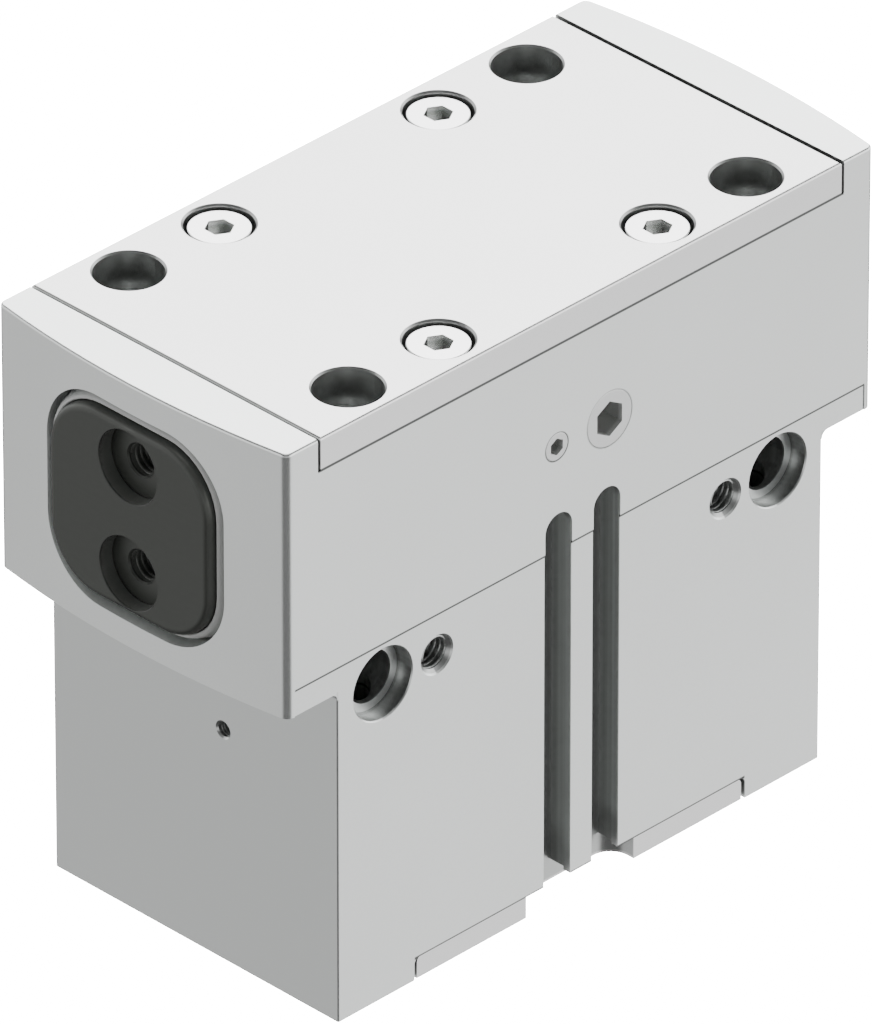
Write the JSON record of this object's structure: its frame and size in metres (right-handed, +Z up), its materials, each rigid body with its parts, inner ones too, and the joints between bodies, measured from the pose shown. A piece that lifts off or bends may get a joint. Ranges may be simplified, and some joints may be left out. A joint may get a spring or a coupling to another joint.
{
  "type": "parallel gripper",
  "caption": "Sealed pneumatic parallel gripper: T-shaped housing with sliding jaws in its bulged ends, a let-in cover plate, sensor slots and side mounting holes.",
  "frame": {"origin": "centre of the bottom mounting face", "axes": "+X along the jaws' travel, +Y towards the air ports and away from the sensor slots, +Z up"},
  "size_m": [0.128, 0.06, 0.103],
  "materials": {
    "anodised_housing": "matt clear anodised",
    "anodised_cover": "matt clear anodised",
    "bright_screw_steel": "bright zinc plated",
    "plug_steel": "zinc plated",
    "pin_steel": "ground",
    "jaw_steel": "hardened, dark burnished",
    "hook_steel": "hardened and ground",
    "rod_steel": "hard chromed",
    "piston_alloy": "turned",
    "bearing_bronze": "turned bronze",
    "lip_plastic": "satin polyurethane",
    "guide_plastic": "filled plastic",
    "black_rubber": "matt",
    "magnet": "sintered"
  },
  "bodies": {
    "base": {"housing": "anodised_housing", "top_cover_plate": "anodised_cover", "bottom_cover_plate": "anodised_cover", "top_cover_screws": "bright_screw_steel", "bottom_cover_screws": "bright_screw_steel", "top_cover_seal": "black_rubber", "cover_dowel_pins": "pin_steel", "cylinder_cap": "piston_alloy", "cylinder_cap_o_ring": "black_rubber", "lower_bumper": "black_rubber", "upper_bumper": "black_rubber", "rod_bush": "bearing_bronze", "rod_seal": "black_rubber", "seal_retaining_ring": "pin_steel", "guide_liner_right": "bearing_bronze", "guide_liner_left": "bearing_bronze", "jaw_seal_ring_right": "black_rubber", "jaw_seal_ring_left": "black_rubber", "jaw_wiper_right": "lip_plastic", "jaw_wiper_left": "lip_plastic", "purge_plug": "plug_steel", "lube_set_screw": "plug_steel"},
    "jaw_right": {"jaw_right": "jaw_steel"},
    "jaw_left": {"jaw_left": "jaw_steel"},
    "piston": {"wedge_hook": "hook_steel", "wedge_pin": "pin_steel", "piston_rod": "rod_steel", "piston": "piston_alloy", "piston_clamp_disc": "piston_alloy", "piston_magnet": "magnet", "piston_seal_lower": "black_rubber", "piston_guide_ring": "guide_plastic", "piston_seal_upper": "black_rubber", "piston_screw": "pin_steel"}
  },
  "joints": [
    {"name": "jaw_right_slide", "type": "slide", "parent": "base", "child": "jaw_right", "axis": [1, 0, 0], "range_m": [0, 0.01]},
    {"name": "jaw_left_slide", "type": "slide", "parent": "base", "child": "jaw_left", "axis": [-1, 0, 0], "range_m": [0, 0.01]},
    {"name": "piston_slide", "type": "slide", "parent": "base", "child": "piston", "axis": [0, 0, 1], "range_m": [0, 0.01601]}
  ],
  "couplings": [
    {"joint": "jaw_left_slide", "follows": "jaw_right_slide", "ratio": 1},
    {"joint": "piston_slide", "follows": "jaw_right_slide", "ratio": 1.6003}
  ]
}
